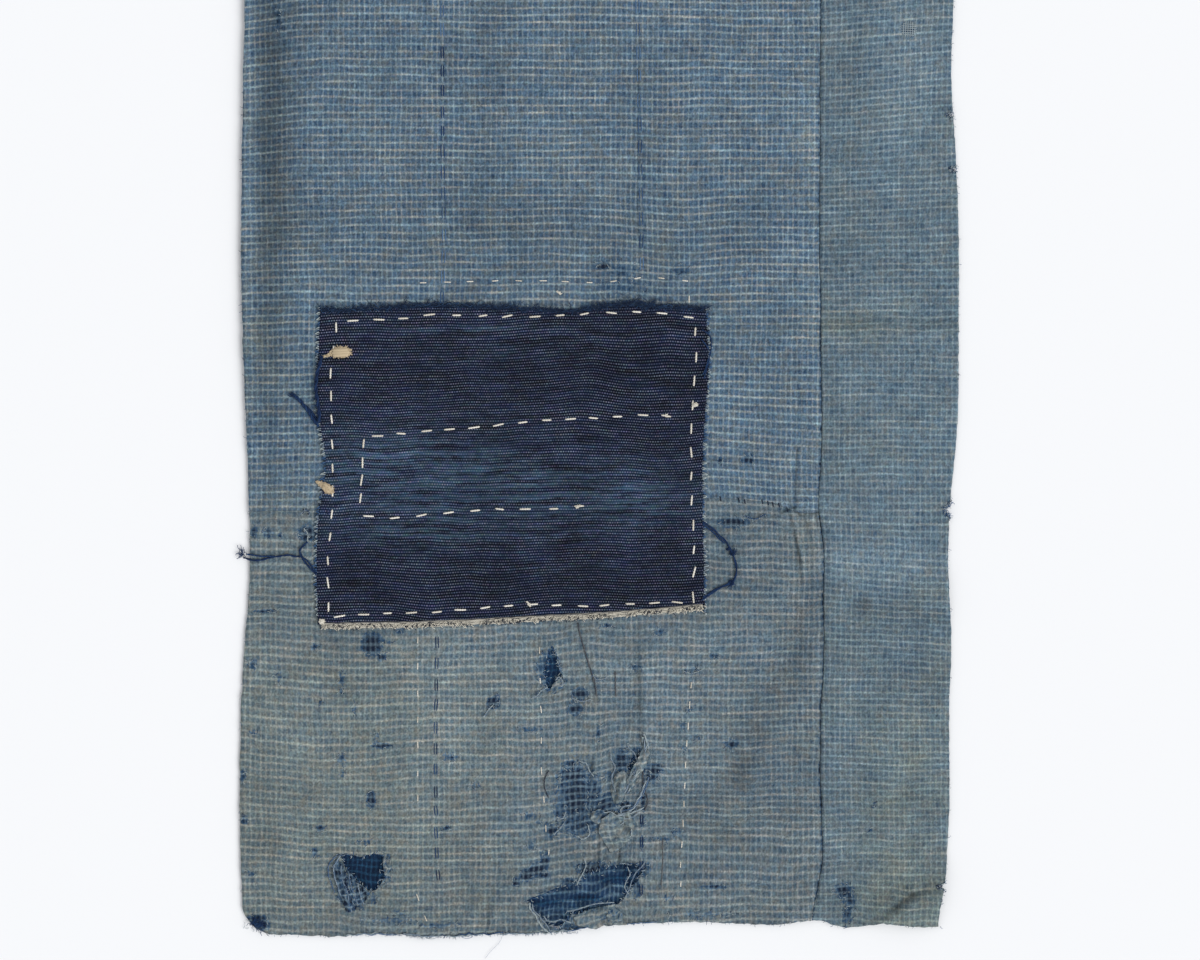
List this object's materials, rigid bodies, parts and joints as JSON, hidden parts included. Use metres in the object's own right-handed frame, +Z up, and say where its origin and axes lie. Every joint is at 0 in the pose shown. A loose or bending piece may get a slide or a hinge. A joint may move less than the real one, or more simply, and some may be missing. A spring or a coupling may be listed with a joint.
{
  "type": "boro patched cloth",
  "caption": "Worn indigo check cloth pieced from three panels over a dark lining, with a dark navy patch on its front, lying nearly flat with low folds and torn holes.",
  "frame": {"origin": "on the surface that the cloth lies on, under the top of the dark patch", "axes": "+X across the cloth towards the narrow strip, +Y along it away from the rounded corner, +Z up out of its face"},
  "size_m": [0.4309, 0.7194, 0.0066],
  "materials": {
    "lining_cloth": "matte dark indigo cotton in a small check",
    "upper_cloth": "matte faded blue cotton in a small pale check",
    "lower_cloth": "matte faded grey-blue cotton in a small beige check",
    "strip_cloth": "matte faded blue-grey cotton in a small pale check",
    "patch_cloth": "matte near-black navy cotton with rows of pale flecks"
  },
  "bodies": {
    "root": {"lining": "lining_cloth", "upper_panel": "upper_cloth", "lower_panel": "lower_cloth", "side_strip": "strip_cloth", "indigo_patch": "patch_cloth"}
  },
  "joints": []
}
